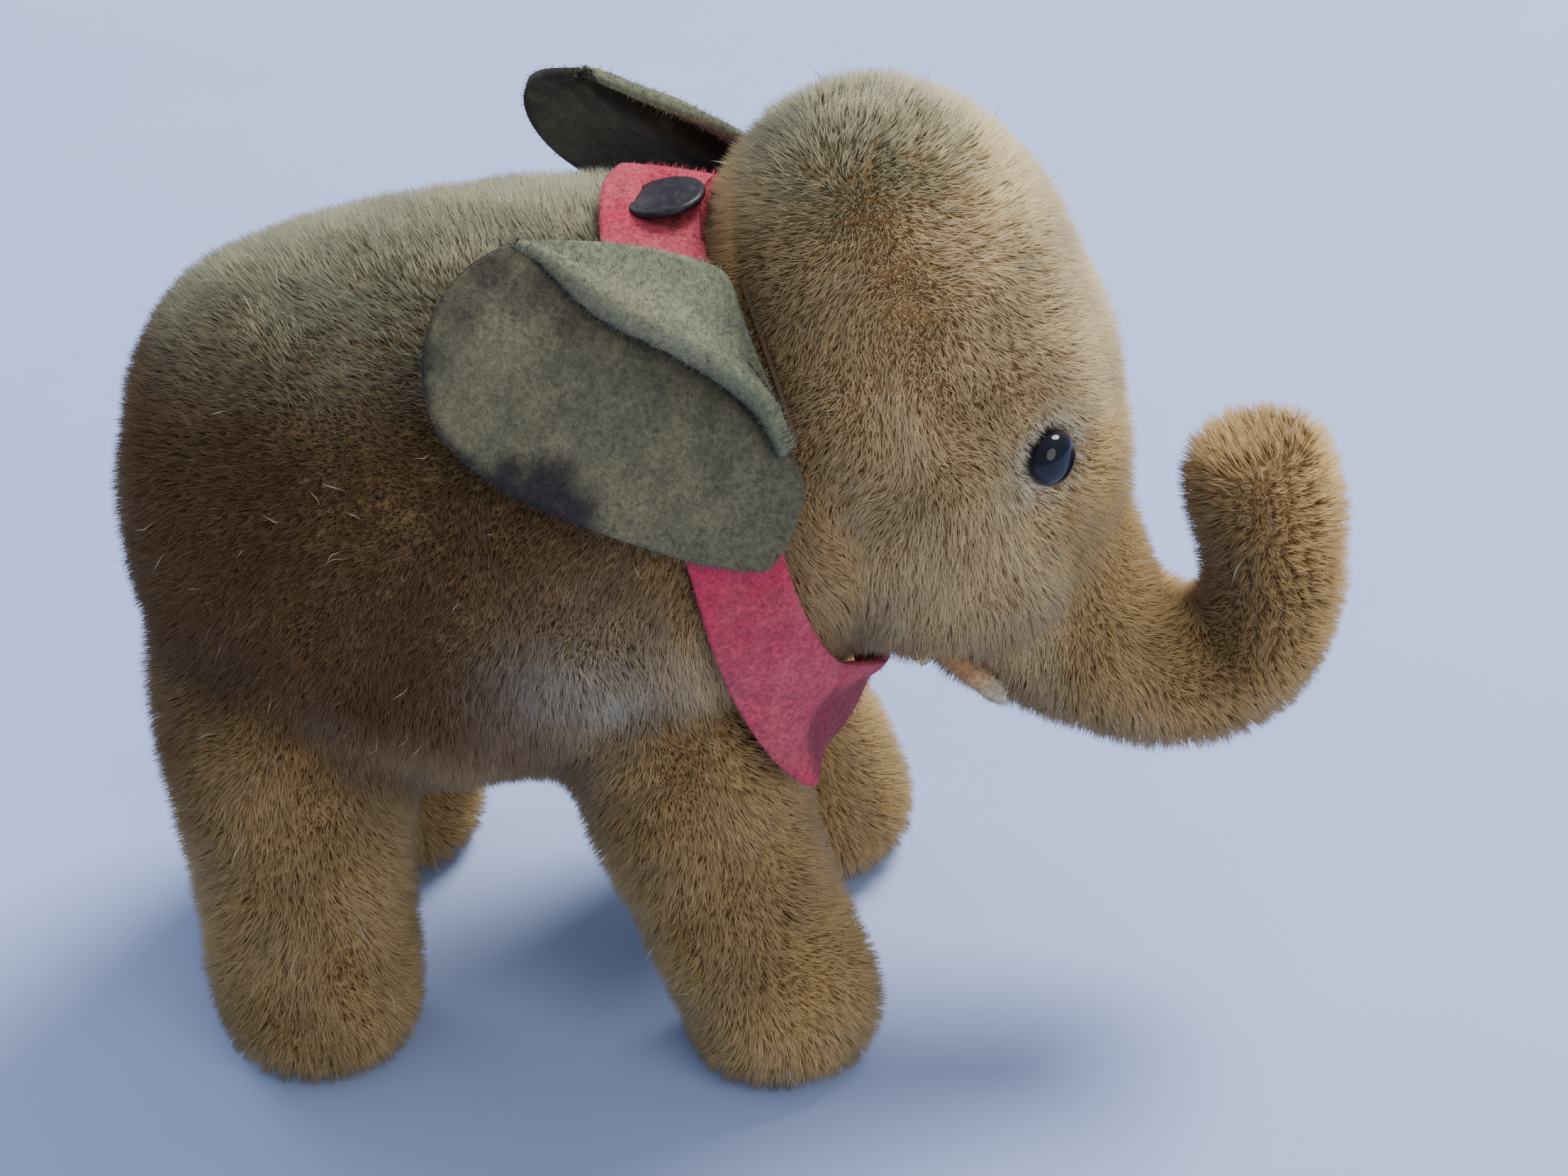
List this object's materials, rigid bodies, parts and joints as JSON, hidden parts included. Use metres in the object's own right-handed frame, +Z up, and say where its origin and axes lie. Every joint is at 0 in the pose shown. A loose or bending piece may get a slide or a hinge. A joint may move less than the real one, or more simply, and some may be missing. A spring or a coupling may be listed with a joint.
{
  "type": "stuffed toy elephant",
  "caption": "Small standing plush elephant with raised curled trunk, felt ears that lift, button eyes, short tusks, a hanging tail and a felt collar closed by a press stud.",
  "frame": {"origin": "middle of the rectangle round the toy as seen from above, on the plane its feet stand on", "axes": "+X along the body towards the trunk, +Y to the elephant's left, +Z up"},
  "size_m": [0.1068, 0.0536, 0.0877],
  "materials": {
    "mohair_plush": "short dense pile",
    "stuffing": "packed fibre",
    "eye_button": "polished black",
    "steel_wire": "drawn wire",
    "sewing_thread": "twisted thread",
    "pale_felt": "matte felt",
    "grey_felt": "matte felt",
    "red_felt": "matte felt",
    "stud_metal": "dull dark lacquer",
    "brown_cord": "twisted cord"
  },
  "bodies": {
    "root": {"plush_side_left": "mohair_plush", "plush_side_right": "mohair_plush", "plush_head_gusset": "mohair_plush", "plush_underbody_left": "mohair_plush", "plush_underbody_right": "mohair_plush", "plush_sole_front_left": "mohair_plush", "plush_sole_front_right": "mohair_plush", "plush_sole_hind_left": "mohair_plush", "plush_sole_hind_right": "mohair_plush", "stuffing_body": "stuffing", "stuffing_head": "stuffing", "stuffing_trunk": "stuffing", "stuffing_leg_front_left": "stuffing", "stuffing_leg_front_right": "stuffing", "stuffing_leg_hind_left": "stuffing", "stuffing_leg_hind_right": "stuffing", "eye_left": "eye_button", "eye_right": "eye_button", "eye_shank_left": "steel_wire", "eye_shank_right": "steel_wire", "eye_tie_thread": "sewing_thread", "ear_seam_thread_left": "sewing_thread", "ear_seam_thread_right": "sewing_thread", "belly_closing_thread": "sewing_thread", "tusk_left": "pale_felt", "tusk_right": "pale_felt", "collar_felt": "red_felt", "stud_cap": "stud_metal", "stud_socket": "stud_metal"},
    "ear_left": {"ear_left": "grey_felt"},
    "ear_right": {"ear_right": "grey_felt"},
    "tail": {"tail": "brown_cord"}
  },
  "joints": [
    {"name": "ear_left_swing", "type": "hinge", "parent": "root", "child": "ear_left", "pos_m": [0.0082, 0.0166, 0.0638], "axis": [0.3011, 0.4051, -0.8633], "range_deg": [0, 45]},
    {"name": "ear_right_swing", "type": "hinge", "parent": "root", "child": "ear_right", "pos_m": [0.0082, -0.0166, 0.0638], "axis": [-0.3011, 0.4051, 0.8633], "range_deg": [0, 45]},
    {"name": "tail_lift", "type": "hinge", "parent": "root", "child": "tail", "pos_m": [-0.0525, 0, 0.057], "axis": [0, 1, 0], "range_deg": [0, 75]}
  ]
}
